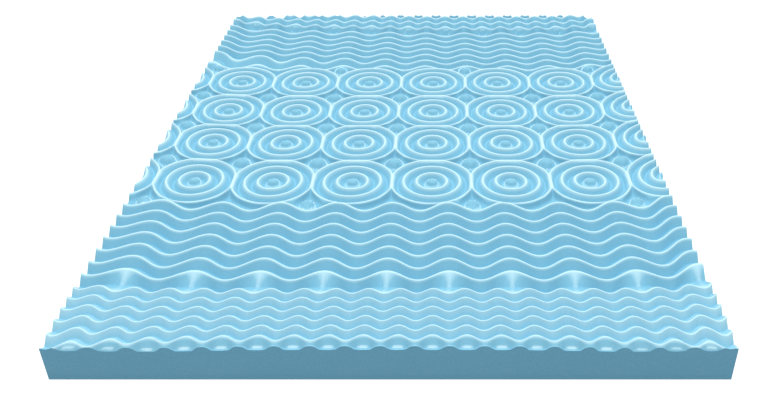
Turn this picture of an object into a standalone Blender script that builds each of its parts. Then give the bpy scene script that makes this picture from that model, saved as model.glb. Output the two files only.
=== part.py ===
"""A queen-size mattress topper: one slab of foam with a profile-cut upper face.

The slab lies on its flat underside. X runs across the bed, Y from the foot end to the head end
and Z up, with the origin at the middle of the underside. All sizes are in metres.

The upper face carries wavy ribs across both ends and four rows of ringed discs between them.
The pattern is set out in two numbers: "across", which is X, and "run", the distance from the
foot end. The cut foam has crept a little near the side edges, so creep() is added to a run
before a point is placed on the slab.
"""

import bisect
import math
from collections import namedtuple

import bpy
from mathutils import Vector
from mathutils.geometry import delaunay_2d_cdt

WIDTH = 1.524
LENGTH = 2.032
THICKNESS = 0.1016  # from the underside to the tops of the ribs

# Each bank of ribs is a set of parallel wavy crest lines. first is the run of the first line's
# middle, pitch the distance from line to line, swing half of the wave's height, wave the length
# of one wave across, peak a place across where the wave is nearest to the head end, and groove
# the depth of the groove behind each line. The first and the last line lie just off the slab,
# where the cut ends have taken them away. The first one waves against the second, so that the
# groove between them is a row of pockets.
Bank = namedtuple("Bank", "first pitch lines swing wave peak groove")
FINE_WAVE = 0.0762
BROAD_WAVE = 0.1524
FINE_PEAK = 0.0185
BROAD_PEAK = -0.0189
FOOT_BANKS = (
    Bank(-0.013, 0.0, 1, -0.009, FINE_WAVE, FINE_PEAK, 0.0165),
    Bank(0.026, 0.032, 6, 0.009, FINE_WAVE, FINE_PEAK, 0.0165),
    Bank(0.2446, 0.0, 1, 0.0175, BROAD_WAVE, BROAD_PEAK, 0.023),
    Bank(0.2938, 0.0508, 6, 0.0205, BROAD_WAVE, BROAD_PEAK, 0.023),
)
HEAD_BANKS = (
    Bank(1.478, 0.055, 7, 0.0195, BROAD_WAVE, BROAD_PEAK + BROAD_WAVE / 2, 0.0235),
    Bank(1.884, 0.060, 3, 0.015, FINE_WAVE, FINE_PEAK + FINE_WAVE / 2, 0.0205),
    Bank(2.037, 0.045, 2, 0.015, FINE_WAVE, FINE_PEAK + FINE_WAVE / 2, 0.0205),
)
# The wide groove between fine and broad ribs, at each end. Low saddles rise across the one at
# the foot end, up to the broad ribs.
BAND = 6  # it lies behind this line at both ends, counted from 0
BAND_GROOVE = 0.024
SADDLE_REACH = 0.021  # half the width of a saddle, at its top
SADDLE_TIP = 0.35  # the least of a saddle's width, as a share of that at its top

# The waves of the ribs lean towards the left side edge, most at the edge.
LEFT_LEAN = 0.043
LEAN_POWER = 2.8

# The ringed discs stand in four rows. Neighbouring discs share a straight wall, halfway between.
DISC_PITCH = 0.2286
DISC_ACROSS = 0.0875  # the middle of one disc
DISC_RUNS = (0.6830, 0.9120, 1.1290, 1.3560)
LAST_ROW = len(DISC_RUNS) - 1
WALL_RUNS = tuple((before + behind) / 2 for before, behind in zip(DISC_RUNS, DISC_RUNS[1:]))
RINGS = (0.0440, 0.0815, 0.1190)  # the crests' radii
GROOVES = (0.0250, 0.0628, 0.1003)  # the radii of the grooves inside them
RING_GROOVE = 0.019
PIT_DEEPENING = 1.45  # the pits between four discs, against the grooves
CORNER_DOME = 0.036  # the radius of the small dome between four discs
END_DOME = 0.029  # and of those where the ribs begin
DOME_POWER = 3  # 1 makes a cone, and more a flatter cap
DOME_SHOULDER = 0.6  # the share of its radius where a dome begins to fall away
DOME_FOOT = 0.87  # and where it meets the slopes around it
VALLEY = 0.048  # from a pit's middle to a point down the valley between two rings
OUTER_SLOPE = 0.0188  # the breadth of the slope outside a ring
RIB_SLOPE = 1.3 * OUTER_SLOPE  # and of the one behind the last rib

# How far the pattern has crept towards the head end at the side edges, and back at the foot
# corners. The higher a power, the closer to the side edge its effect stays.
LEFT_CREEP = 0.032
LEFT_POWER = 6
RIGHT_CREEP = 0.043
RIGHT_POWER = 8
CREEP_START = 0.03
CREEP_GROWS_OVER = 0.13
HEAD_CREEP = 0.036  # on top of that, on the left of the head half
HEAD_POWER = 0.8
HEAD_EDGE_CREEP = 0.024
HEAD_EDGE_POWER = 5
HEAD_CREEP_START = (0.05, 1.478)  # across and run
HEAD_CREEP_GROWS_OVER = 0.07
CORNER_CREEP = -0.022
CORNER_POWER = 3
CORNER_FADES_OVER = 0.09
CORNER_DROOP = 0.009  # how far the foot corners sink
DROOP_POWER = 4
DROOP_RUN = 0.14

# How finely the solid follows the pattern.
CREST_STEPS = 6  # points on each wave of a crest line
GROOVE_STEPS = 4
BORDER_STEPS = 12
EDGE_CLEARANCE = 0.007
SNAP = 1e-5  # points nearer to each other than this are one
DIGITS = 4  # places are told apart to a tenth of a millimetre
RING_SIDES = (8, 12)
GROOVE_SIDES = (8, 12, 14)
DOME_SIDES = 8
SCAN_STEP = 0.002

SHARP_ANGLE = 50.0
HALF_WIDTH = WIDTH / 2
FOAM_BLUE = (0.21, 0.55, 0.74, 1.0)
FOAM_ROUGHNESS = 0.85


def lean(across):
    """How far the waves of the ribs stand to the left of their even places."""
    return LEFT_LEAN * (max(0.0, -across) / HALF_WIDTH) ** LEAN_POWER


class Crest:
    """One wavy crest line, with the depth of the groove between it and the next line."""

    def __init__(self, bank, index):
        self.middle = bank.first + index * bank.pitch
        self.swing = bank.swing
        self.wave = bank.wave
        self.peak = bank.peak
        self.groove = bank.groove

    def run(self, across):
        turn = (across + lean(across) - self.peak) / self.wave
        return self.middle + self.swing * math.cos(math.tau * turn)


def crests_of(banks):
    return [Crest(bank, index) for bank in banks for index in range(bank.lines)]


FOOT = crests_of(FOOT_BANKS)
HEAD = crests_of(HEAD_BANKS)
FOOT[BAND].groove = BAND_GROOVE
HEAD[BAND].groove = BAND_GROOVE


def creep(across, run):
    """How far the foam has moved towards the head end here."""
    side = abs(across) / HALF_WIDTH
    behind = max(0.0, min(run, LENGTH - CREEP_START) - CREEP_START)
    most, power = (RIGHT_CREEP, RIGHT_POWER) if across > 0 else (LEFT_CREEP, LEFT_POWER)
    sides = most * (1 - math.exp(-behind / CREEP_GROWS_OVER)) * side**power
    corners = CORNER_CREEP * math.exp(-behind / CORNER_FADES_OVER) * side**CORNER_POWER
    return sides + corners + head_creep(across, run)


def head_creep(across, run):
    """How much further the left of the head half has moved."""
    start_across, start_run = HEAD_CREEP_START
    left = max(0.0, (start_across - across) / (start_across + HALF_WIDTH))
    ahead = max(0.0, min(1.0, (run - start_run) / HEAD_CREEP_GROWS_OVER))
    most = HEAD_CREEP * left**HEAD_POWER + HEAD_EDGE_CREEP * left**HEAD_EDGE_POWER
    return ahead**2 * (3 - 2 * ahead) * most


def foot_cut(across):
    return -creep(across, 0.0)


def head_cut(across):
    return LENGTH - creep(across, LENGTH)


def hump(distance, reach):
    """1 at no distance, falling evenly to 0 at the reach, and 0 beyond."""
    return 1 - min(1.0, abs(distance) / reach)


def aside_disc(across):
    """How far a place lies to the right of the nearest disc's middle."""
    column = round((across - DISC_ACROSS) / DISC_PITCH)
    return across - DISC_ACROSS - column * DISC_PITCH


def rim(cosine, sine, row):
    """How far from a disc's middle its outer ring or its wall lies, in this direction."""
    reach = RINGS[-1]
    if abs(cosine) * reach > DISC_PITCH / 2:
        reach = DISC_PITCH / 2 / abs(cosine)
    wall = None
    if sine > 0 and row < LAST_ROW:
        wall = WALL_RUNS[row] - DISC_RUNS[row]
    if sine < 0 and row > 0:
        wall = DISC_RUNS[row] - WALL_RUNS[row - 1]
    if wall and abs(sine) * reach > wall:
        reach = wall / abs(sine)
    return reach


def disc_front(across):
    """The run where the first row's outer rings reach furthest towards the foot."""
    return DISC_RUNS[0] - math.sqrt(RINGS[-1] ** 2 - aside_disc(across) ** 2)


def disc_back(across):
    return DISC_RUNS[-1] + math.sqrt(RINGS[-1] ** 2 - aside_disc(across) ** 2)


def foot_border(across):
    return min(FOOT[-1].run(across), disc_front(across))


def head_border(across):
    return max(HEAD[0].run(across), disc_back(across))


def domes_at(across):
    """(run, radius) of the domes in the gap between discs here. Every second gap has one at
    each of its ends too.
    """
    corners = tuple((run, CORNER_DOME) for run in WALL_RUNS)
    if math.floor((across - DISC_ACROSS) / DISC_PITCH) % 2:
        return corners
    ends = (DISC_RUNS[0] - DISC_PITCH / 2, DISC_RUNS[-1] + DISC_PITCH / 2)
    return corners + tuple((run, END_DOME) for run in ends)


def dome_share(across, run):
    aside = DISC_PITCH / 2 - abs(aside_disc(across))
    return max(
        hump(math.hypot(aside, run - place) ** DOME_POWER, radius**DOME_POWER)
        for place, radius in domes_at(across)
    )


def ring_share(radius, outer):
    """The height inside a disc's outer ring or wall, from 0 in the grooves to 1 on the rings."""
    if radius < GROOVES[0]:
        return hump(radius**DOME_POWER, GROOVES[0] ** DOME_POWER)
    crests = (0.0, *RINGS[:-1], outer)
    for groove, inner, crest in zip(GROOVES, crests, crests[1:]):
        if radius < groove:
            return hump(radius - inner, groove - inner)
        if radius < crest:
            return hump(crest - radius, crest - groove)
    return 1.0


def disc_share(across, run):
    """The height among the discs: 0 in the grooves, 1 on the rings, and below 0 in the pits."""
    aside = aside_disc(across)
    row = bisect.bisect_left(WALL_RUNS, run)
    ahead = run - DISC_RUNS[row]
    radius = math.hypot(aside, ahead)
    outer = rim(aside / radius, ahead / radius, row) if radius else RINGS[-1]
    if radius <= outer:
        return ring_share(radius, outer)
    raised = max(hump(radius - RINGS[-1], OUTER_SLOPE), dome_share(across, run))
    return max(
        1 - PIT_DEEPENING * (1 - raised),
        hump(run - FOOT[-1].run(across), RIB_SLOPE),
        hump(run - HEAD[0].run(across), RIB_SLOPE),
    )


def saddle(across, share):
    """How much of a saddle stands here, this share of the way from its front to its top."""
    turn = (across + lean(across) - BROAD_PEAK) / BROAD_WAVE
    return hump((turn - round(turn)) * BROAD_WAVE, SADDLE_REACH * max(share, SADDLE_TIP))


def rib_depth(crests, across, run, border):
    """How far below the crests the surface lies, between two lines of a bank."""
    runs = [crest.run(across) for crest in crests]
    if border is not None:
        runs[border] = foot_border(across) if crests is FOOT else head_border(across)
    behind = max(1, min(len(runs) - 1, bisect.bisect_left(runs, run)))
    crest = crests[behind - 1]
    width = runs[behind] - runs[behind - 1]
    share = (run - runs[behind - 1]) / width
    relief = abs(2 * share - 1)
    if crest is FOOT[BAND]:
        relief += saddle(across, share) * max(0.0, share - relief)
    depth = crest.groove * (1 - relief)
    if crest is FOOT[0]:
        depth *= min(1.0, width / (FOOT[1].middle - crest.middle)) ** 2
    return depth


def surface(across, run):
    """The point of the slab's upper face that the pattern has at this place."""
    if run < foot_border(across):
        depth = rib_depth(FOOT, across, run, -1)
    elif run > head_border(across):
        depth = rib_depth(HEAD, across, run, 0)
    else:
        depth = RING_GROOVE * (1 - disc_share(across, run))
    place = run + creep(across, run)
    corner = max(0.0, 1 - place / DROOP_RUN) ** 2 * (abs(across) / HALF_WIDTH) ** DROOP_POWER
    return Vector((across, place - LENGTH / 2, THICKNESS - depth - CORNER_DROOP * corner))


def columns(wave, peak, steps=CREST_STEPS):
    """Places across at even steps of a wave, with both side edges."""
    step = wave / steps
    most = math.ceil(WIDTH / 2 / step) + steps
    even = [peak + step * index for index in range(-most, most + 1)]
    places = [place - lean(place) for place in even]
    inner = [place for place in places if abs(place) <= HALF_WIDTH - EDGE_CLEARANCE]
    return [-HALF_WIDTH] + inner + [HALF_WIDTH]


def rib_lines():
    """The crest lines and groove lines of both ends, each as a list of (across, run)."""
    lines = []
    for crest in FOOT[:-1] + HEAD[1:]:
        lines.append([(x, crest.run(x)) for x in columns(crest.wave, crest.peak)])
    for before, behind in list(zip(FOOT, FOOT[1:-1])) + list(zip(HEAD[1:], HEAD[2:])):
        lines.append(groove_line(before, behind.run))
    lines.append(groove_line(FOOT[-2], foot_border))
    lines.append(groove_line(HEAD[1], head_border))
    return lines


def groove_line(rib, next_run):
    """The line midway between a rib's crest and the next one."""
    places = columns(rib.wave, rib.peak, GROOVE_STEPS)
    return [(x, (rib.run(x) + next_run(x)) / 2) for x in places]


def cut_lines():
    """The lines along both cut ends."""
    places = columns(FINE_WAVE, FINE_PEAK)
    return [[(x, foot_cut(x)) for x in places], [(x, head_cut(x)) for x in places]]


def border_lines():
    """The crest lines where the ribs meet the discs."""
    places = columns(BROAD_WAVE, BROAD_PEAK, BORDER_STEPS)
    return [[(x, foot_border(x)) for x in places], [(x, head_border(x)) for x in places]]


def on_slab(across, run):
    """Whether a point of a rib lies on the slab, clear of its cut ends."""
    return foot_cut(across) + EDGE_CLEARANCE < run < head_cut(across) - EDGE_CLEARANCE


def inside_discs(across, run):
    """Whether a point lies well inside the disc area and clear of the side edges."""
    if abs(across) > HALF_WIDTH - EDGE_CLEARANCE:
        return False
    return foot_border(across) + EDGE_CLEARANCE < run < head_border(across) - EDGE_CLEARANCE


def circle(across, run, radius, sides, turn=0.0):
    return [
        (
            across + radius * math.cos(math.tau * (index + turn) / sides),
            run + radius * math.sin(math.tau * (index + turn) / sides),
        )
        for index in range(sides)
    ]


def rim_angles(row):
    """The directions of the outer ring's points: where it meets its walls, and between them."""
    angles = []
    walls = [DISC_PITCH / 2] * 4
    if row < LAST_ROW:
        walls[1] = WALL_RUNS[row] - DISC_RUNS[row]
    if row > 0:
        walls[3] = DISC_RUNS[row] - WALL_RUNS[row - 1]
    for quarter, wall in enumerate(walls):
        axis = math.tau * quarter / 4
        half = math.acos(wall / RINGS[-1])
        angles += [axis - half, axis + half, axis + math.tau / 8]
    return angles


def disc_lines(across, run, row):
    """The rings and grooves of one disc, as closed outlines, and its shared rim."""
    lines = []
    for radius, sides in zip(RINGS[:-1], RING_SIDES):
        lines.append(circle(across, run, radius, sides))
    for radius, sides in zip(GROOVES, GROOVE_SIDES):
        lines.append(circle(across, run, radius, sides, 0.5))
    outline = []
    for angle in rim_angles(row):
        reach = rim(math.cos(angle), math.sin(angle), row)
        outline.append((across + reach * math.cos(angle), run + reach * math.sin(angle)))
    lines.append(outline)
    return lines


def disc_columns():
    """The middle of every column of discs that reaches the slab."""
    reach = HALF_WIDTH + RINGS[-1]
    first = math.ceil((-reach - DISC_ACROSS) / DISC_PITCH)
    last = math.floor((reach - DISC_ACROSS) / DISC_PITCH)
    return [DISC_ACROSS + column * DISC_PITCH for column in range(first, last + 1)]


def disc_places():
    """(across, run, row) of every disc that reaches the slab."""
    return [(across, run, row) for across in disc_columns() for row, run in enumerate(DISC_RUNS)]


def dome_places():
    """(across, run, radius) of every small dome."""
    gaps = [across + DISC_PITCH / 2 for across in disc_columns()]
    return [(gap, *place) for gap in gaps for place in domes_at(gap)]


def valley_places():
    """(across, run) of a point down each valley between two rings."""
    places = []
    for across in disc_columns():
        gap = across + DISC_PITCH / 2
        places.append((gap, DISC_RUNS[0] - DISC_PITCH / 2 + VALLEY))
        places.append((gap, DISC_RUNS[-1] + DISC_PITCH / 2 - VALLEY))
        for run in WALL_RUNS:
            places += [(gap - VALLEY, run), (gap + VALLEY, run)]
            places += [(gap, run - VALLEY), (gap, run + VALLEY)]
    return places


def side_points(across):
    """The turning points of the disc area's profile along one side edge."""
    steps = round((head_border(across) - foot_border(across)) / SCAN_STEP)
    runs = [foot_border(across) + SCAN_STEP * index for index in range(1, steps)]
    heights = [surface(across, run).z for run in runs]
    return [
        (across, runs[index])
        for index in range(1, len(runs) - 1)
        if (heights[index] - heights[index - 1]) * (heights[index + 1] - heights[index]) <= 0
        and heights[index - 1] != heights[index + 1]
    ]


class Plan:
    """The points of the upper face, and the lines that the triangles have to keep to."""

    def __init__(self):
        self.points = []
        self.edges = []
        self.known = {}

    def point(self, across, run):
        key = (round(across, DIGITS), round(run, DIGITS))
        if key not in self.known:
            self.known[key] = len(self.points)
            self.points.append(surface(across, run))
        return self.known[key]

    def line(self, places):
        self.edges += joined([self.point(*place) for place in places])

    def rib(self, places):
        """A line of the ribs, left out wherever it runs off a cut end."""
        for start, end in zip(places, places[1:]):
            if on_slab(*start) and on_slab(*end):
                self.line([start, end])

    def ring(self, places):
        """A closed outline, left out wherever it runs off the disc area."""
        count = len(places)
        for index in range(count):
            ends = (places[index], places[(index + 1) % count])
            if all(inside_discs(*end) for end in ends):
                self.edges += joined([self.point(*end) for end in ends])
            elif inside_discs(*ends[0]):
                self.point(*ends[0])

    def lone(self, across, run):
        if inside_discs(across, run):
            self.point(across, run)


def joined(indices):
    return [pair for pair in zip(indices, indices[1:]) if pair[0] != pair[1]]


def pattern_plan():
    plan = Plan()
    for places in cut_lines() + border_lines():
        plan.line(places)
    for places in rib_lines():
        plan.rib(places)
    for across, run, row in disc_places():
        plan.lone(across, run)
        for outline in disc_lines(across, run, row):
            plan.ring(outline)
    for across, run, radius in dome_places():
        plan.lone(across, run)
        for share in (DOME_SHOULDER, DOME_FOOT):
            plan.ring(circle(across, run, share * radius, DOME_SIDES))
    for across, run in valley_places():
        plan.lone(across, run)
    for across in (-HALF_WIDTH, HALF_WIDTH):
        for place in side_points(across):
            plan.point(*place)
    return plan


def slab_mesh():
    """The closed slab: the patterned face in triangles, four cut walls and a flat underside."""
    plan = pattern_plan()
    flat = [point.to_2d() for point in plan.points]
    net = delaunay_2d_cdt(flat, plan.edges, [], 0, SNAP, True)
    points = []
    for place, source in zip(net[0], net[3]):
        height = plan.points[source[0]].z if source else THICKNESS - RING_GROOVE
        points.append((place.x, place.y, height))

    half_length = LENGTH / 2
    corners = [
        (-HALF_WIDTH, -half_length),
        (HALF_WIDTH, -half_length),
        (HALF_WIDTH, half_length),
        (-HALF_WIDTH, half_length),
    ]
    floor = len(points)
    points += [(x, y, 0.0) for x, y in corners]
    faces = [tuple(triangle) for triangle in net[2]]
    faces.append((floor + 3, floor + 2, floor + 1, floor))
    for side in range(4):
        start = Vector(corners[side])
        along = (Vector(corners[(side + 1) % 4]) - start).normalized()
        edge = []
        for index, (x, y, _) in enumerate(points[:floor]):
            offset = Vector((x, y)) - start
            if abs(offset.cross(along)) < SNAP:
                edge.append((offset.dot(along), index))
        top = [index for _, index in sorted(edge, reverse=True)]
        faces.append((floor + side, floor + (side + 1) % 4, *top))
    mesh = bpy.data.meshes.new("foam_pad")
    mesh.from_pydata(points, [], faces)
    mesh.validate()
    mesh.update()
    return mesh


def foam_material():
    material = bpy.data.materials.new("blue_foam")
    material.use_nodes = True
    shader = material.node_tree.nodes["Principled BSDF"]
    shader.inputs["Base Color"].default_value = FOAM_BLUE
    shader.inputs["Roughness"].default_value = FOAM_ROUGHNESS
    shader.inputs["Metallic"].default_value = 0.0
    return material


def main():
    for item in list(bpy.data.objects):
        bpy.data.objects.remove(item, do_unlink=True)
    mesh = slab_mesh()
    mesh.materials.append(foam_material())
    mesh.shade_smooth()
    mesh.set_sharp_from_angle(angle=math.radians(SHARP_ANGLE))
    pad = bpy.data.objects.new("foam_pad", mesh)
    bpy.context.scene.collection.objects.link(pad)


main()
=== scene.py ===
"""A queen-size mattress topper of blue foam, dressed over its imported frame.

The upper face is one sheet that Geometry Nodes lay out in the two numbers of the cutting
pattern: "across", which is X, and "run", the distance from the foot end. Strips from crest to
crest make the wavy ribs, and round cells make the ringed discs. The sheet then creeps and
droops as the cut foam has, is trimmed to the slab, and gets its sides and its underside.
"""

import math
from collections import namedtuple

import bmesh
import bpy
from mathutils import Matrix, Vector


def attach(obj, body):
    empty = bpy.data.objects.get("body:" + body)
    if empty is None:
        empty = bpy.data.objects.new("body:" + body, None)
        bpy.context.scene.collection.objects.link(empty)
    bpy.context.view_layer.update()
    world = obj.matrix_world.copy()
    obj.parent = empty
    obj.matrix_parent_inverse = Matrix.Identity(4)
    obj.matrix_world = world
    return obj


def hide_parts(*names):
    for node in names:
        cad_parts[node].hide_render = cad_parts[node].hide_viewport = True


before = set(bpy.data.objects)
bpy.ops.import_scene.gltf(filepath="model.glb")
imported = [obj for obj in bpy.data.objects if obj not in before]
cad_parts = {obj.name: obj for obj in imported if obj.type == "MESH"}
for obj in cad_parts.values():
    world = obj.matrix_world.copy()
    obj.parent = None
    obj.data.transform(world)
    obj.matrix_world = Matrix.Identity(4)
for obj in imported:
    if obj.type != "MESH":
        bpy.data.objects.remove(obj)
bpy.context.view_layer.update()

# The sizes of the slab and of its pattern, in metres, as the part's source has them.
WIDTH = 1.524
LENGTH = 2.032
THICKNESS = 0.1016
HALF_WIDTH = WIDTH / 2

# A crest line: the run of its middle, half of its wave's height, the length of one wave, a place
# across where the wave is nearest to the head end, and the depth of the groove behind it. A bank
# is a number of such lines, one pitch apart.
Crest = namedtuple("Crest", "middle swing wave peak groove")
Bank = namedtuple("Bank", "first pitch lines swing wave peak groove")
FINE_WAVE = 0.0762
BROAD_WAVE = 0.1524
FINE_PEAK = 0.0185
BROAD_PEAK = -0.0189

# The very first line lies off the slab and waves against the next, which makes the pockets.
FOOT_BANKS = (
    Bank(-0.013, 0.0, 1, -0.009, FINE_WAVE, FINE_PEAK, 0.0165),
    Bank(0.026, 0.032, 6, 0.009, FINE_WAVE, FINE_PEAK, 0.0165),
    Bank(0.2446, 0.0, 1, 0.0175, BROAD_WAVE, BROAD_PEAK, 0.023),
    Bank(0.2938, 0.0508, 6, 0.0205, BROAD_WAVE, BROAD_PEAK, 0.023),
)
HEAD_BANKS = (
    Bank(1.478, 0.055, 7, 0.0195, BROAD_WAVE, BROAD_PEAK + BROAD_WAVE / 2, 0.0235),
    Bank(1.884, 0.060, 3, 0.015, FINE_WAVE, FINE_PEAK + FINE_WAVE / 2, 0.0205),
    Bank(2.037, 0.045, 2, 0.015, FINE_WAVE, FINE_PEAK + FINE_WAVE / 2, 0.0205),
)
BAND = 6  # the wide groove lies behind this line at both ends
BAND_GROOVE = 0.024
LEFT_LEAN = 0.043
LEAN_POWER = 2.8

# The saddles cross the wide groove at the foot end, one at every peak of the broad waves.
SADDLE_REACH = 0.021
SADDLE_TIP = 0.35  # the least share of that reach, at the groove's front
# How pale the painted highlight along the saddles' tops is.
SADDLE_HIGHLIGHT = 0.88

# The pockets lie along the cut at the foot end, with a painted highlight a little way up their
# backs.
POCKET_SHINE = 0.0045
POCKET_SHINE_REACH = 0.007
POCKET_SHINE_GAIN = 1.4
POCKET_SHINE_MOST = 0.97
POCKET_SHINE_SHARE = 0.55  # how much of it a pocket of plain width has
POCKET_SHINE_GROWTH = 1.3  # how fast that share grows with the width

# The dimples lie in the wide groove at the head end.
DIMPLE_PLACE = 0.68  # the share of the groove's width in front of their middles
DIMPLE_RADIUS = 0.0145
DIMPLE_DEPTH = 0.5
# Round each dimple lies a painted highlight: how far it reaches, in radii, and how pale it is.
DIMPLE_HIGHLIGHT_REACH = 0.6  # how far their pale rim reaches, in radii
DIMPLE_HIGHLIGHT = 0.92

# A groove less deep than this gets less painted shade and is raised towards the painted highlight.
SHALLOW_GROOVE = 0.0205  # a groove less deep than this is paler
SHALLOW_PAINTED_LIGHT = 3.95
SHALLOW_POCKETS = 0.25  # how much less this does in the pockets

DISC_PITCH = 0.2286
DISC_ACROSS = 0.0875
DISC_RUNS = (0.6830, 0.9120, 1.1290, 1.3560)
WALL_RUNS = tuple((before + behind) / 2 for before, behind in zip(DISC_RUNS, DISC_RUNS[1:]))
RINGS = (0.0440, 0.0815, 0.1190)
GROOVES = (0.0250, 0.0628, 0.1003)
RING_GROOVE = 0.019
# Inside a disc the painted shade in the grooves is limited, and the painted highlights are a little
# stronger than the ribs'.
RING_LEAST_PAINTED_LIGHT = 0.5  # the least tone inside a disc
DISC_PAINTED_LIGHT_GAIN = 1.05  # the discs' crests are paler than the ribs'
WALL_FULLNESS = 0.6  # how much higher the last slope rises where two discs meet
# The pits are deepened, and painted shade is laid in them as well.
PIT_DEEPENING_AND_SHADE = 1.45  # the pits between four discs, against the grooves
OUTER_SLOPE = 0.0188  # how far the slope outside the outer ring reaches
RIB_SLOPE = 1.3 * OUTER_SLOPE  # and the slope of the nearest rib

# The domes in the middle of a disc, between four discs and at the ends of the disc area.
CORNER_DOME = 0.036
END_DOME = 0.029
DOME_POWER = 3
DOME_STEPS = (0.0, 0.35, 0.62, 1.0)  # where the rows of a disc's middle dome lie
# A dome gets a weaker painted highlight on top than a crest.
DOME_HIGHLIGHT_SHARE = 0.72  # domes are not as pale on top as crests
DOME_BACK_START = 0.5  # "dome_back" in a dome's middle; it runs from 0 in front to 1 behind
DOME_BACK_GROWTH = 1.5
NO_DOME = 9.0  # a run far off the slab

# A painted highlight in a line round a dome, each as its value at the dome's front and at its back.
DOME_HIGHLIGHT_HEIGHT = (0.30, 0.86)  # how high it runs
DOME_HIGHLIGHT_REACH = (0.26, 0.11)
DOME_HIGHLIGHT_PALENESS = (0.35, 1.0)  # how pale it is
DOME_HIGHLIGHT_GAIN = 1.6

# How the cut foam has moved: towards the head end near the sides and at the head end's left,
# back at the foot corners, and down there.
LEFT_CREEP = 0.032
LEFT_POWER = 6
RIGHT_CREEP = 0.043
RIGHT_POWER = 8
CREEP_START = 0.03
CREEP_GROWS_OVER = 0.13
HEAD_CREEP = 0.036
HEAD_POWER = 0.8
HEAD_EDGE_CREEP = 0.024
HEAD_EDGE_POWER = 5
HEAD_CREEP_START = (0.05, 1.478)
HEAD_CREEP_GROWS_OVER = 0.07
CORNER_CREEP = -0.022
CORNER_POWER = 3
CORNER_FADES_OVER = 0.09
CORNER_DROOP = 0.009
DROOP_POWER = 4
DROOP_RUN = 0.14

# How finely the sheet follows the pattern.
SECTORS_A_SIDE = 19  # of a disc's cell, an odd number; a rib strip has two columns for each
ROWS_A_GROOVE = 6
OUTER_ROWS = 8  # between a disc's outer ring and the edge of its cell
ROW_CROWDING = 1.4  # how much closer the rows lie at crests and troughs
FINE_ROWS = 18.0  # for the two grooves with pockets and dimples
FINE_CROWDING = 0.8
CREST_ROUNDING = 0.02  # 0 makes straight slopes with knife edges, 1 plain waves
WELD = 0.0002  # between strips and cells
TRIM = 0.0001  # how near to a cut a point lies on it
BORDER_WELD = 5 * TRIM

# The sheet starts and ends at a gap between two discs, past the slab's sides.
GAP = DISC_ACROSS + DISC_PITCH / 2
COLUMN = DISC_PITCH / (2 * SECTORS_A_SIDE)
FIRST_GAP = math.floor((-HALF_WIDTH - GAP) / DISC_PITCH)
LAST_GAP = math.ceil((HALF_WIDTH - GAP) / DISC_PITCH)
CELLS = LAST_GAP - FIRST_GAP
SHEET_LEFT = GAP + FIRST_GAP * DISC_PITCH

# Colours, each as red, green, blue and alpha.
FOAM_BLUES = ((0.215, 0.515, 0.675, 1), (0.235, 0.535, 0.695, 1))
# Painted shade, laid into the grooves and pits.
GROOVE_SHADE_BLUE = (0.14, 0.41, 0.58, 1)
# A painted highlight, laid on the crests and on the other pale marks.
PAINTED_HIGHLIGHT_BLUE = (0.64, 0.90, 0.98, 1)
GRAIN_BLUE = (0.62, 0.82, 0.90, 1)
# The cut sides are the same foam, painted darker to stand for shade.
SHADED_SIDE_BLUES = ((0.130, 0.362, 0.507, 1), (0.142, 0.380, 0.532, 1))
SHEEN_BLUE = (0.80, 0.95, 1.0, 1)
FLOOR_GREY = (0.2, 0.2, 0.2, 1)
FLOOR_GLOW = (1.0, 1.0, 1.0, 1)
SKY_BLUE = (0.86, 0.95, 1.0, 1)

# How the foam's colour follows the relief and the pale marks: painted shade below this level, a
# painted highlight above it.
LEVEL = 0.7
GROOVE_SHADE_STRENGTH = 0.4
CREST_HIGHLIGHT_STRENGTH = 0.93
CREST_HIGHLIGHT_POWER = 1.7

# The foam's cells and its cloudiness.
CLOUD_SCALE = 7.0
GRAIN_SCALE = 420.0
CELL_SCALE = 650.0
GRAIN_CONTRAST = 0.35
GRAIN_PALENESS = 0.03
CELL_SHARE = 0.6  # of the bumps, against the grain
ROUGHNESS = 0.86
ROUGHNESS_SPREAD = 0.1

FLOOR_REACH = 30.0
SKY_STRENGTH = 0.25
SUN_STRENGTH = 3.45
SUN_WIDTH = 30  # in degrees, as the two angles below
SUN_TILT = -15
CAMERA_PLACE = (0.11142, -2.35697, 1.35028)
CAMERA_DIP = 30.733  # how far below level it looks
CAMERA_LENS = 38.680
CAMERA_SHIFT = (-0.072917, -0.05)


class Wire:
    """A node's output socket. Sums on it add their nodes to its tree."""

    def __init__(self, tree, socket=None):
        self.tree = tree
        self.socket = socket

    def node(self, kind, settings=None, inputs=None, output=0):
        """Adds a node with these settings and these values or links, and gives one output."""
        node = self.tree.nodes.new(kind)
        for name, value in (settings or {}).items():
            setattr(node, name, value)
        for key, value in (inputs or {}).items():
            for term in value if isinstance(value, list) else [value]:
                if isinstance(term, Wire):
                    self.tree.links.new(term.socket, node.inputs[key])
                else:
                    node.inputs[key].default_value = term
        return Wire(self.tree, node.outputs[output] if node.outputs else None)

    def also(self, output):
        """Another output of the node that this one comes from."""
        return Wire(self.tree, self.socket.node.outputs[output])

    def math(self, operation, *terms):
        return self.node("ShaderNodeMath", {"operation": operation}, dict(enumerate(terms)))

    def __add__(self, other):
        return self.math("ADD", self, other)

    def __radd__(self, other):
        return self.math("ADD", other, self)

    def __sub__(self, other):
        return self.math("SUBTRACT", self, other)

    def __rsub__(self, other):
        return self.math("SUBTRACT", other, self)

    def __mul__(self, other):
        return self.math("MULTIPLY", self, other)

    def __rmul__(self, other):
        return self.math("MULTIPLY", other, self)

    def __truediv__(self, other):
        return self.math("DIVIDE", self, other)

    def __pow__(self, other):
        return self.math("POWER", self, other)

    def __neg__(self):
        return self.math("MULTIPLY", self, -1.0)

    def __abs__(self):
        return self.math("ABSOLUTE", self)

    def at_most(self, other):
        return self.math("MINIMUM", self, other)

    def at_least(self, other):
        return self.math("MAXIMUM", self, other)

    def sine(self):
        return self.math("SINE", self)

    def cosine(self):
        return self.math("COSINE", self)

    def root(self):
        return self.math("SQRT", self)


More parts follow.
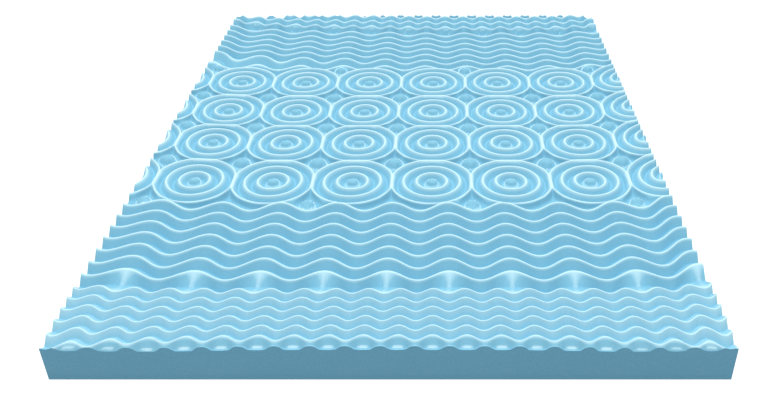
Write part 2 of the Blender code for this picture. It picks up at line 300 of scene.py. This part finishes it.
def lean(across):
    """How far the waves of the ribs stand to the left of their even places."""
    return LEFT_LEAN * ((-across).at_least(0.0) / HALF_WIDTH) ** LEAN_POWER


def line_run(across, line):
    """The run of a crest line; line holds the wires of its middle, swing, wave and peak."""
    middle, swing, wave, peak = line
    turn = (across + lean(across) - peak) / wave
    return middle + swing * (math.tau * turn).cosine()


def aside_disc(across):
    """How far a place lies to the right of the nearest disc's middle."""
    half = DISC_PITCH / 2
    return across.math("WRAP", across - DISC_ACROSS, half, -half)


def border_run(across, line, end, disc_run):
    """The run of a line, or of the outer rings where they reach past it. end is -1 or 1."""
    ring = disc_run + end * (RINGS[-1] ** 2 - aside_disc(across) ** 2).root()
    return end * (end * line_run(across, line)).at_least(end * ring)


def hump(distance, reach, rounding):
    """1 at no distance, falling evenly to 0 at the reach, and rounded at both ends."""
    turn = math.pi * (abs(distance) / reach).at_most(1.0)
    fall = turn.math("ARCCOSINE", (1 - rounding) * turn.cosine())
    least = rounding.math("ARCCOSINE", 1 - rounding)
    return 1 - (fall - least) / (math.pi - 2 * least)


def aside_peak(across):
    """How far a place lies from the nearest peak of the foot end's broad waves."""
    turn = (across + lean(across) - BROAD_PEAK) / BROAD_WAVE
    return (turn - turn.math("ROUND", turn)) * BROAD_WAVE


def crowded(step, crowding):
    """Turns even steps from crest to crest into places closer together at the crests and trough."""
    return step - crowding / (2 * math.tau) * (2 * math.tau * step).sine()


def new_tree(name, sizes):
    """A Geometry Nodes tree with these named inputs, and its input wires by name."""
    tree = bpy.data.node_groups.new(name, "GeometryNodeTree")
    for size, default in sizes.items():
        if isinstance(default, str):
            tree.interface.new_socket(size, in_out="INPUT", socket_type=default)
        else:
            socket = tree.interface.new_socket(size, in_out="INPUT", socket_type="NodeSocketFloat")
            socket.default_value = default
    tree.interface.new_socket("Sheet", in_out="OUTPUT", socket_type="NodeSocketGeometry")
    group = tree.nodes.new("NodeGroupInput")
    wires = {size: Wire(tree, group.outputs[size]) for size in sizes}
    return tree, Wire(tree), wires


def end_tree(sheet):
    """Gives the tree this sheet as its output."""
    output = sheet.tree.nodes.new("NodeGroupOutput")
    sheet.tree.links.new(sheet.socket, output.inputs["Sheet"])


def counted_grid(start, columns, rows):
    """A grid, and the wires of each point's column and row, counted from 0."""
    sizes = {"Size X": columns, "Size Y": rows, "Vertices X": columns + 1, "Vertices Y": rows + 1}
    grid = start.node("GeometryNodeMeshGrid", None, sizes)
    place = start.node("GeometryNodeInputPosition")
    x = start.node("ShaderNodeSeparateXYZ", None, {0: place})
    column = x.math("ROUND", x + columns / 2)
    row = x.math("ROUND", x.also(1) + rows / 2)
    return grid, column, row


def with_number(sheet, name, value, domain="POINT"):
    """The sheet with this number stored on it under this name."""
    settings = {"data_type": "FLOAT", "domain": domain}
    inputs = {"Geometry": sheet, "Name": name, "Value": value}
    return sheet.node("GeometryNodeStoreNamedAttribute", settings, inputs)


def laid(sheet, across, run, relief, depth, painted_light):
    """The sheet with its points moved there, depth under the crests where relief is 0.

    Its painted shade and highlights follow the last number, stored under the name "relief".
    """
    place = {"X": across, "Y": run, "Z": depth * (relief - 1)}
    point = sheet.node("ShaderNodeCombineXYZ", None, place)
    sheet = with_number(sheet, "relief", painted_light)
    return sheet.node("GeometryNodeSetPosition", None, {"Geometry": sheet, "Position": point})


LINE_SIZES = ("middle", "swing", "wave", "peak")
RIB_SIZES = {f"{side} {size}": 1.0 for side in ("Front", "Back") for size in LINE_SIZES}
RIB_SIZES |= {
    "Groove": BAND_GROOVE,
    "Saddles": 0.0,
    "Pockets": 0.0,
    "Dimples": 0.0,
    "End": 1.0,
    "Disc run": 0.0,
    "Front joint": 0.0,
    "Back joint": 0.0,
    "Rounding": CREST_ROUNDING,
    "Rows": float(ROWS_A_GROOVE),
    "Crowding": ROW_CROWDING,
}


def rib_groove_tree():
    """The strip from one wavy crest line to the next, right across the slab.

    A joint of 1 leaves out every second point of that line, so that it meets the discs' cells.
    Saddles, Pockets and Dimples are 1 in the grooves that have them.
    """
    tree, start, size = new_tree("rib_groove", RIB_SIZES)
    columns = CELLS * 2 * SECTORS_A_SIDE
    sheet, column, row = counted_grid(start, columns, size["Rows"])
    step = row / size["Rows"]
    joint = size["Front joint"] * start.math("LESS_THAN", row, 0.5)
    last = start.math("GREATER_THAN", row, size["Rows"] - 0.5)
    joint = joint + size["Back joint"] * last
    odd = start.math("MODULO", column, 2.0)
    across = SHEET_LEFT + COLUMN * (column - odd * joint)
    share = crowded(step, size["Crowding"])
    runs = []
    for side in ("Front", "Back"):
        line = [size[f"{side} {name}"] for name in LINE_SIZES]
        runs.append(border_run(across, line, size["End"], size["Disc run"]))
    run = runs[0] + (runs[1] - runs[0]) * share
    relief = hump(1 - abs(2 * share - 1), 1.0, size["Rounding"])
    aside = aside_peak(across)
    saddle = hump(aside, SADDLE_REACH * share.at_least(SADDLE_TIP), size["Rounding"])
    saddle = size["Saddles"] * saddle
    relief = relief + saddle * (share - relief).at_least(0.0)
    width = runs[1] - runs[0]
    wide = width / (size["Back middle"] - size["Front middle"])

    # Pockets are shallower where they are narrow.
    narrow = wide.at_most(1.0)
    relief = 1 - (1 - relief) * (1 + size["Pockets"] * (narrow * narrow - 1))

    # Dimples are round hollows on the groove's back slope.
    ahead = (share - DIMPLE_PLACE) * width
    dimple = (aside * aside + ahead * ahead).root() / DIMPLE_RADIUS
    relief = relief - size["Dimples"] * DIMPLE_DEPTH * (1 - dimple * dimple).at_least(0.0)

    # The painted light level is the relief, raised by painted highlights on saddles, on the
    # pockets' backs, where the groove is shallow and round the dimples. A pocket's back starts at
    # its trough, or at the cut where the trough lies before it.
    saddle_highlight_mask = (1 - aside * aside / SADDLE_REACH**2).at_least(0.0) * (2 * share).at_most(1.0)
    painted_light = relief.at_least(size["Saddles"] * SADDLE_HIGHLIGHT * saddle_highlight_mask)
    in_sight = (run + crept(across, run)).at_most(run - runs[0] - width / 2)
    shine = hump(in_sight - POCKET_SHINE, POCKET_SHINE_REACH, size["Rounding"])
    shine = (POCKET_SHINE_GAIN * shine).at_most(POCKET_SHINE_MOST)
    shine = shine * (POCKET_SHINE_SHARE + POCKET_SHINE_GROWTH * (wide - 1)).at_most(1.0)
    painted_light = painted_light.at_least(size["Pockets"] * shine)
    shallow = 1 - size["Groove"] / SHALLOW_GROOVE
    shallow = shallow * (1 - SHALLOW_POCKETS * size["Pockets"])
    painted_light = painted_light.at_least(SHALLOW_PAINTED_LIGHT * shallow)
    dimple_highlight = hump(dimple - 1, DIMPLE_HIGHLIGHT_REACH, size["Rounding"])
    painted_light = painted_light.at_least(size["Dimples"] * DIMPLE_HIGHLIGHT * dimple_highlight)
    end_tree(laid(sheet, across, run, relief, size["Groove"], painted_light))
    return tree


CELL_NUMBERS = ("sector", "row", "middle")  # what the points of a disc's cell carry
ROW_SIZES = {
    "Run": DISC_RUNS[0],
    "Front edge": DISC_RUNS[0],
    "Back edge": WALL_RUNS[0],
    "Front wavy": 0.0,
    "Back wavy": 0.0,
    "Foot domes": NO_DOME,  # the runs of the domes at the two ends of the disc area
    "Head domes": NO_DOME,
    "Front domes": NO_DOME,  # the runs of the domes next to this row
    "Back domes": NO_DOME,
    "Groove": RING_GROOVE,
    "Rounding": CREST_ROUNDING,
}


def disc_row_tree():
    """One row of round cells: rings round a middle, out to the straight walls between cells.

    Where a row is wavy at its front or back, the cells end on the ribs' nearest crest line.
    """
    tree, start, size = new_tree("disc_row", ROW_SIZES)
    sectors = 4 * SECTORS_A_SIDE
    rings = len(RINGS)
    rows = rings * ROWS_A_GROOVE + OUTER_ROWS
    cell, column, row = counted_grid(start, sectors, rows)
    for name, count in (("sector", column), ("row", row)):
        cell = with_number(cell, name, count)
    line = {
        "Count": CELLS,
        "Start Location": (SHEET_LEFT + DISC_PITCH / 2, 0.0, 0.0),
        "Offset": (DISC_PITCH, 0.0, 0.0),
    }
    points = start.node("GeometryNodeMeshLine", None, line)
    cells = start.node("GeometryNodeInstanceOnPoints", None, {"Points": points, "Instance": cell})
    place = start.node("GeometryNodeInputPosition")
    middle = start.node("ShaderNodeSeparateXYZ", None, {0: place})
    cells = with_number(cells, "middle", middle, "INSTANCE")
    cells = start.node("GeometryNodeRealizeInstances", None, {"Geometry": cells})
    named = {}
    for name in CELL_NUMBERS:
        kind = {"data_type": "FLOAT"}
        named[name] = start.node("GeometryNodeInputNamedAttribute", kind, {"Name": name})

    # The edge of the cell, seen from its middle: each side has the same number of points.
    turn = (named["sector"] + 0.5) / SECTORS_A_SIDE
    aside = 2 - 2 * turn.math("PINGPONG", turn, 2.0)
    aside = aside.at_most(1.0).at_least(-1.0)
    ahead = 2 - 2 * turn.math("PINGPONG", turn - 1, 2.0)
    ahead = ahead.at_most(1.0).at_least(-1.0)
    edge_across = named["middle"] + DISC_PITCH / 2 * aside
    foot_line = line_values(FOOT[-1])
    head_line = line_values(HEAD[0])
    front = border_run(edge_across, foot_line, -1.0, DISC_RUNS[0])
    front = size["Front edge"] + size["Front wavy"] * (front - size["Front edge"])
    back = border_run(edge_across, head_line, 1.0, DISC_RUNS[-1])
    back = size["Back edge"] + size["Back wavy"] * (back - size["Back edge"])
    edge_ahead = ahead.at_least(0.0) * (back - size["Run"])
    edge_ahead = edge_ahead + ahead.at_most(0.0) * (size["Run"] - front)
    edge_aside = DISC_PITCH / 2 * aside
    edge_reach = (edge_aside * edge_aside + edge_ahead * edge_ahead).root()
    rim = edge_reach.at_most(RINGS[-1])

    # From crest to crest out to the rim, then on to the cell's edge.
    passed = named["row"] / ROWS_A_GROOVE
    gap = passed.math("FLOOR", passed).at_most(float(rings))
    share = crowded(passed - gap, ROW_CROWDING)
    inner = pick(gap, [0.0, RINGS[0], RINGS[1], rim])
    groove = pick(gap, [GROOVES[0], GROOVES[1], GROOVES[2], rim])
    outer = pick(gap, [RINGS[0], RINGS[1], rim, rim])
    radius = inner + (groove - inner) * (2 * share).at_most(1.0)
    radius = radius + (outer - groove) * (2 * share - 1).at_least(0.0)
    ring_relief = hump(1 - abs(2 * share - 1), 1.0, size["Rounding"])
    is_middle = start.math("LESS_THAN", named["row"], ROWS_A_GROOVE / 2 + 0.5)
    dome_radius = pick(named["row"], [GROOVES[0] * step for step in DOME_STEPS])
    radius = radius + is_middle * (dome_radius - radius)
    middle_dome = 1 - (radius / GROOVES[0]).at_most(1.0) ** DOME_POWER
    ring_relief = ring_relief + is_middle * (middle_dome - ring_relief)
    walled = ((RINGS[-1] - rim) / (RINGS[-1] - DISC_PITCH / 2)).at_most(1.0)
    last_rise = start.math("GREATER_THAN", gap + share, rings - 0.5)
    ring_relief = (ring_relief * (1 + WALL_FULLNESS * walled * last_rise)).at_most(1.0)
    # The painted light level: the relief, with a weaker painted highlight on the middle dome and a
    # floor that limits painted shade in the rings.
    painted_light = (ring_relief * (1 - (1 - DOME_HIGHLIGHT_SHARE) * is_middle)).at_least(RING_LEAST_PAINTED_LIGHT)
    outside = (named["row"] - rings * ROWS_A_GROOVE) / OUTER_ROWS
    is_outside = start.math("GREATER_THAN", outside, 0.0)
    far_radius = rim + (edge_reach - rim) * outside
    radius = radius + is_outside * (far_radius - radius)

    aside_here = edge_aside / edge_reach * radius
    across = named["middle"] + aside_here
    run = size["Run"] + edge_ahead / edge_reach * radius
    rounding = size["Rounding"]
    to_wall = DISC_PITCH / 2 - abs(aside_here)
    second_gap = (across - DISC_ACROSS) / (2 * DISC_PITCH)
    second_gap = second_gap - second_gap.math("FLOOR", second_gap)
    second_gap = start.math("LESS_THAN", second_gap, 0.5)
    ring_slope = hump(radius - rim, OUTER_SLOPE, rounding)
    domes = dome(to_wall, run - WALL_RUNS[0], CORNER_DOME)
    for dome_run in WALL_RUNS[1:]:
        domes = domes.at_least(dome(to_wall, run - dome_run, CORNER_DOME))
    for name in ("Foot domes", "Head domes"):
        domes = domes.at_least(dome(to_wall, run - size[name], END_DOME) * second_gap)
    outer_relief = 1 - PIT_DEEPENING_AND_SHADE * (1 - ring_slope.at_least(domes))
    # Painted shade in the pits, and a weaker painted highlight on the domes.
    outer_painted_light = 1 - PIT_DEEPENING_AND_SHADE * (1 - ring_slope.at_least(domes * DOME_HIGHLIGHT_SHARE))
    for rib in (foot_line, head_line):
        rib_slope = hump(run - line_run(across, rib), RIB_SLOPE, rounding)
        outer_relief = outer_relief.at_least(rib_slope)
        outer_painted_light = outer_painted_light.at_least(rib_slope)
    relief = ring_relief + is_outside * (outer_relief - ring_relief)
    painted_light = painted_light + is_outside * (outer_painted_light - painted_light)

    # How high and how far back on a dome each point lies, for the painted highlight round it.
    to_back = size["Back domes"] - size["Front domes"]
    behind = run - size["Front domes"] - to_back * start.math("GREATER_THAN", run, size["Run"])
    behind = behind / CORNER_DOME
    behind = behind + is_middle * ((run - size["Run"]) / GROOVES[0] - behind)
    cap = is_middle * middle_dome + is_outside * domes
    back = DOME_BACK_START + DOME_BACK_GROWTH * behind
    for name, value in (("dome", cap), ("dome_back", back)):
        cells = with_number(cells, name, value.at_least(0.0).at_most(1.0))
    # The discs' painted light is raised a little, for stronger painted highlights.
    end_tree(laid(cells, across, run, relief, size["Groove"], DISC_PAINTED_LIGHT_GAIN * painted_light))
    return tree


def pick(index, values):
    """The value for this index, from a short list of wires and numbers."""
    settings = {"data_type": "FLOAT"}
    chosen = values[0]
    for number, value in enumerate(values[1:], 1):
        past = index.math("GREATER_THAN", index, number - 0.5)
        inputs = {"Factor": past, "A": chosen, "B": value}
        chosen = index.node("ShaderNodeMix", settings, inputs)
    return chosen


def dome(aside, ahead, reach):
    """The relief of a small round dome, at this place from its middle."""
    share = ((aside * aside + ahead * ahead) / reach**2).at_most(1.0)
    return 1 - share ** (DOME_POWER / 2)


def crests_of(banks):
    """Every crest line of these banks, from front to back."""
    crests = []
    for bank in banks:
        for index in range(bank.lines):
            middle = bank.first + index * bank.pitch
            crests.append(Crest(middle, bank.swing, bank.wave, bank.peak, bank.groove))
    crests[BAND] = crests[BAND]._replace(groove=BAND_GROOVE)
    return crests


def line_values(crest):
    """What line_run asks of a crest line."""
    return [crest.middle, crest.swing, crest.wave, crest.peak]


FOOT = crests_of(FOOT_BANKS)
HEAD = crests_of(HEAD_BANKS)


def crept(across, run):
    """How far the foam has moved towards the head end here."""
    side = abs(across) / HALF_WIDTH
    behind = (run.at_most(LENGTH - CREEP_START) - CREEP_START).at_least(0.0)
    right = across.math("GREATER_THAN", across, 0.0)
    sides = right * RIGHT_CREEP * side**RIGHT_POWER
    sides = sides + (1 - right) * LEFT_CREEP * side**LEFT_POWER
    grown = 1 - behind.math("EXPONENT", -behind / CREEP_GROWS_OVER)
    faded = behind.math("EXPONENT", -behind / CORNER_FADES_OVER)
    start_across, start_run = HEAD_CREEP_START
    left = ((start_across - across) / (start_across + HALF_WIDTH)).at_least(0.0)
    ahead = ((run - start_run) / HEAD_CREEP_GROWS_OVER).at_least(0.0).at_most(1.0)
    most = HEAD_CREEP * left**HEAD_POWER + HEAD_EDGE_CREEP * left**HEAD_EDGE_POWER
    head = ahead * ahead * (3 - 2 * ahead) * most
    return sides * grown + CORNER_CREEP * faded * side**CORNER_POWER + head


def upper_face_tree(rib_groove, disc_row):
    """The whole upper face: ribs, discs and ribs, joined and laid out on the slab."""
    sizes = {
        "Base": "NodeSocketGeometry",
        "Foam": "NodeSocketMaterial",
        "Thickness": THICKNESS,
        "Length": LENGTH,
        "Ring groove": RING_GROOVE,
        "Rounding": CREST_ROUNDING,
    }
    tree, start, size = new_tree("upper_face", sizes)
    strips = []
    for crests, end, disc_run in ((FOOT, -1.0, DISC_RUNS[0]), (HEAD, 1.0, DISC_RUNS[-1])):
        for index, (front, back) in enumerate(zip(crests, crests[1:])):
            inputs = {"Groove": front.groove, "End": end, "Disc run": disc_run}
            for side, crest in (("Front", front), ("Back", back)):
                for name, value in zip(LINE_SIZES, line_values(crest)):
                    inputs[f"{side} {name}"] = value
            inputs["Front joint"] = float(crests is HEAD and index == 0)
            inputs["Back joint"] = float(crests is FOOT and index == len(FOOT) - 2)
            inputs["Rounding"] = size["Rounding"]
            inputs["Saddles"] = float(crests is FOOT and index == BAND)
            inputs["Pockets"] = float(crests is FOOT and index == 0)
            inputs["Dimples"] = float(crests is HEAD and index == BAND)
            if inputs["Pockets"] or inputs["Dimples"]:
                inputs["Rows"] = FINE_ROWS
                inputs["Crowding"] = FINE_CROWDING
            strips.append(start.node("GeometryNodeGroup", {"node_tree": rib_groove}, inputs))
    edges = [DISC_RUNS[0], *WALL_RUNS, DISC_RUNS[-1]]
    end_domes = [DISC_RUNS[0] - DISC_PITCH / 2, DISC_RUNS[-1] + DISC_PITCH / 2]
    dome_runs = [end_domes[0], *WALL_RUNS, end_domes[1]]
    for index, run in enumerate(DISC_RUNS):
        inputs = {"Run": run, "Front edge": edges[index], "Back edge": edges[index + 1]}
        inputs["Front wavy"] = float(index == 0)
        inputs["Back wavy"] = float(index == len(DISC_RUNS) - 1)
        inputs["Foot domes"], inputs["Head domes"] = end_domes
        inputs["Front domes"], inputs["Back domes"] = dome_runs[index : index + 2]
        inputs["Groove"] = size["Ring groove"]
        inputs["Rounding"] = size["Rounding"]
        strips.append(start.node("GeometryNodeGroup", {"node_tree": disc_row}, inputs))
    sheet = start.node("GeometryNodeJoinGeometry", None, {"Geometry": strips})
    welded = {"Geometry": sheet, "Distance": WELD}
    sheet = start.node("GeometryNodeMergeByDistance", None, welded)

    place = start.node("GeometryNodeInputPosition")
    across = start.node("ShaderNodeSeparateXYZ", None, {0: place})
    run = across.also(1)
    depth = across.also(2)
    run = run + crept(across, run)
    corner = (1 - run / DROOP_RUN).at_least(0.0) ** 2 * (abs(across) / HALF_WIDTH) ** DROOP_POWER
    height = size["Thickness"] + depth - CORNER_DROOP * corner
    point = {"X": across, "Y": run - size["Length"] / 2, "Z": height}
    point = start.node("ShaderNodeCombineXYZ", None, point)
    sheet = start.node("GeometryNodeSetPosition", None, {"Geometry": sheet, "Position": point})
    for name in CELL_NUMBERS:
        removed = {"Geometry": sheet, "Name": name}
        sheet = start.node("GeometryNodeRemoveAttribute", None, removed)
    sheet = start.node("GeometryNodeRealizeInstances", None, {"Geometry": sheet})
    named = {"Geometry": sheet, "Material": size["Foam"]}
    end_tree(start.node("GeometryNodeSetMaterial", None, named))
    return tree


def made_by(tree, name, values):
    """The plain mesh that a tree makes, with its named inputs set to these values."""
    carrier = bpy.data.objects.new(name + "_carrier", bpy.data.meshes.new(name + "_carrier"))
    bpy.context.scene.collection.objects.link(carrier)
    modifier = carrier.modifiers.new("layout", "NODES")
    modifier.node_group = tree
    for item in tree.interface.items_tree:
        if item.in_out == "INPUT" and item.name in values:
            modifier[item.identifier] = values[item.name]
    graph = bpy.context.evaluated_depsgraph_get()
    mesh = bpy.data.meshes.new_from_object(carrier.evaluated_get(graph))
    mesh.name = name
    bpy.data.objects.remove(carrier)
    return mesh


def trimmed_slab(mesh, finishes):
    """Trims the sheet to the slab, and adds the cut sides and the underside."""
    bm = bmesh.new()
    bm.from_mesh(mesh)
    cuts = (
        (HALF_WIDTH, 0, 1, 0),
        (-HALF_WIDTH, 0, -1, 0),
        (0, LENGTH / 2, 0, 1),
        (0, -LENGTH / 2, 0, -1),
    )
    for x, y, out_x, out_y in cuts:
        parts = list(bm.verts) + list(bm.edges) + list(bm.faces)
        at = Vector((x, y, 0))
        out = Vector((out_x, out_y, 0))
        bmesh.ops.bisect_plane(
            bm, geom=parts, dist=TRIM, plane_co=at, plane_no=out, clear_outer=True
        )
    border = [vert for vert in bm.verts if vert.is_boundary]
    bmesh.ops.remove_doubles(bm, verts=border, dist=BORDER_WELD)
    bmesh.ops.dissolve_degenerate(bm, dist=TRIM, edges=bm.edges)
    for face in bm.faces:
        face.smooth = True
        face.material_index = 0
    rim = [edge for edge in bm.edges if edge.is_boundary]
    for x, y, out_x, out_y in cuts:
        for vert in {vert for edge in rim for vert in edge.verts}:
            if abs(vert.co.x * out_x + vert.co.y * out_y - abs(x + y)) < BORDER_WELD:
                vert.co.x = x if out_x else vert.co.x
                vert.co.y = y if out_y else vert.co.y
    grown = bmesh.ops.extrude_edge_only(bm, edges=rim)["geom"]
    foot_rim = [part for part in grown if isinstance(part, bmesh.types.BMEdge)]
    walls = [part for part in grown if isinstance(part, bmesh.types.BMFace)]
    for vert in {vert for edge in foot_rim for vert in edge.verts}:
        vert.co.z = 0.0
    underside = bmesh.ops.contextual_create(bm, geom=foot_rim)["faces"]
    fan = bmesh.ops.poke(bm, faces=underside)["faces"]
    for face in walls + fan:
        face.smooth = False
        face.material_index = 1
    bmesh.ops.recalc_face_normals(bm, faces=bm.faces)
    for edge in rim + foot_rim:
        edge.smooth = False
    mesh.materials.clear()
    for finish in finishes:
        mesh.materials.append(finish)
    bm.to_mesh(mesh)
    bm.free()
    return mesh


def new_material(name):
    """A material without nodes, and a wire of its tree to start from."""
    material = bpy.data.materials.new(name)
    material.use_nodes = True
    material.node_tree.nodes.clear()
    return material, Wire(material.node_tree)


def read_number(start, name):
    """In a material, the number stored on the mesh under this name."""
    return start.node("ShaderNodeAttribute", {"attribute_name": name}, output="Fac")


def foam_finish(name, dark, light, profiled=False):
    """Blue foam with open cells. Profiled, it gets painted shade in its grooves and painted
    highlights on its crests and round its domes.
    """
    material, start = new_material(name)
    place = start.node("ShaderNodeTexCoord", output="Object")
    cloud = {"Vector": place, "Scale": CLOUD_SCALE, "Detail": 3.0, "Roughness": 0.55}
    cloud = start.node("ShaderNodeTexNoise", None, cloud)
    grain = {"Vector": place, "Scale": GRAIN_SCALE, "Detail": 3.0, "Roughness": 0.65}
    grain = start.node("ShaderNodeTexNoise", None, grain)
    cells = start.node("ShaderNodeTexVoronoi", None, {"Vector": place, "Scale": CELL_SCALE})
    shade = colour_mix(start, cloud, dark, light)
    if profiled:
        # The painted light level stored under "relief": painted shade in the grooves, a painted
        # highlight on the crests.
        relief = read_number(start, "relief")
        depth = (1 - relief / LEVEL).at_least(0.0)
        shade = colour_mix(start, depth * GROOVE_SHADE_STRENGTH, shade, GROOVE_SHADE_BLUE)
        # A painted highlight on the crests.
        crest = ((relief - LEVEL) / (1 - LEVEL)).at_least(0.0)
        shade = colour_mix(start, crest**CREST_HIGHLIGHT_POWER * CREST_HIGHLIGHT_STRENGTH, shade, PAINTED_HIGHLIGHT_BLUE)
        # A painted highlight in a line round each dome, higher and paler at its back.
        cap = read_number(start, "dome")
        back = read_number(start, "dome_back")
        highlight_sizes = (DOME_HIGHLIGHT_HEIGHT, DOME_HIGHLIGHT_REACH, DOME_HIGHLIGHT_PALENESS)
        height, reach, pale = [front + (behind - front) * back for front, behind in highlight_sizes]
        rim = DOME_HIGHLIGHT_GAIN * (1 - abs(cap - height) / reach)
        shade = colour_mix(start, rim.at_least(0.0).at_most(1.0) * pale, shade, PAINTED_HIGHLIGHT_BLUE)
    speckle = (grain - 0.5) * GRAIN_CONTRAST + GRAIN_PALENESS
    shade = colour_mix(start, speckle, shade, GRAIN_BLUE)
    height = cells * CELL_SHARE + grain * (1 - CELL_SHARE)
    bump = {"Height": height, "Strength": 0.35, "Distance": 0.0008}
    bump = start.node("ShaderNodeBump", None, bump)
    sockets = {
        "Base Color": shade,
        "Roughness": ROUGHNESS + ROUGHNESS_SPREAD * (grain - 0.5),
        "Normal": bump,
        "Specular IOR Level": 0.15,
        "Sheen Weight": 0.5,
        "Sheen Roughness": 0.3,
        "Sheen Tint": SHEEN_BLUE,
    }
    shader = start.node("ShaderNodeBsdfPrincipled", None, sockets)
    start.node("ShaderNodeOutputMaterial", None, {"Surface": shader})
    return material


def colour_mix(start, factor, first, second):
    """Two colours, mixed."""
    return start.node("ShaderNodeMix", {"data_type": "RGBA"}, {0: factor, 6: first, 7: second}, 2)


def floor_finish():
    """The studio's floor, which glows nearly white."""
    material, start = new_material("studio_floor")
    sockets = {
        "Base Color": FLOOR_GREY,
        "Roughness": 0.9,
        "Emission Color": FLOOR_GLOW,
        "Emission Strength": 0.95,
    }
    shader = start.node("ShaderNodeBsdfPrincipled", None, sockets)
    start.node("ShaderNodeOutputMaterial", None, {"Surface": shader})
    return material


def make_topper():
    """The topper, one soft piece over the frame's foam pad."""
    rib_groove = rib_groove_tree()
    disc_row = disc_row_tree()
    tree = upper_face_tree(rib_groove, disc_row)
    top = foam_finish("profiled_foam", *FOAM_BLUES, profiled=True)
    # The cut sides get the darker colours of painted shade.
    side = foam_finish("cut_foam_side_painted_shade", *SHADED_SIDE_BLUES)
    values = {"Foam": top, "Rounding": CREST_ROUNDING}
    mesh = trimmed_slab(made_by(tree, "foam_topper", values), (top, side))
    piece = bpy.data.objects.new("foam_topper", mesh)
    bpy.context.scene.collection.objects.link(piece)
    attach(piece, "root")
    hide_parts("foam_pad")
    return piece


def make_studio():
    """A floor, a pale sky and one broad sun."""
    mesh = bpy.data.meshes.new("floor")
    reach = FLOOR_REACH
    corners = [(-reach, -reach, 0), (reach, -reach, 0), (reach, reach, 0), (-reach, reach, 0)]
    mesh.from_pydata(corners, [], [(0, 1, 2, 3)])
    mesh.materials.append(floor_finish())
    floor = bpy.data.objects.new("floor", mesh)
    bpy.context.scene.collection.objects.link(floor)

    world = bpy.data.worlds.new("studio")
    bpy.context.scene.world = world
    world.use_nodes = True
    background = world.node_tree.nodes["Background"]
    background.inputs["Color"].default_value = SKY_BLUE
    background.inputs["Strength"].default_value = SKY_STRENGTH

    key = bpy.data.lights.new("key", "SUN")
    key.energy = SUN_STRENGTH
    key.angle = math.radians(SUN_WIDTH)
    lamp = bpy.data.objects.new("key", key)
    lamp.rotation_euler = (math.radians(SUN_TILT), 0, 0)
    lamp.location = (0, 1.5, 3)
    bpy.context.scene.collection.objects.link(lamp)


def make_camera():
    """The photo's camera, above the foot end."""
    data = bpy.data.cameras.new("camera")
    data.lens = CAMERA_LENS
    data.sensor_width = 36.0
    data.shift_x, data.shift_y = CAMERA_SHIFT
    camera = bpy.data.objects.new("camera", data)
    camera.location = CAMERA_PLACE
    camera.rotation_euler = (math.radians(90 - CAMERA_DIP), 0, 0)
    bpy.context.scene.collection.objects.link(camera)
    bpy.context.scene.camera = camera


make_camera()
make_studio()
make_topper()
bpy.context.scene.view_settings.view_transform = "Standard"
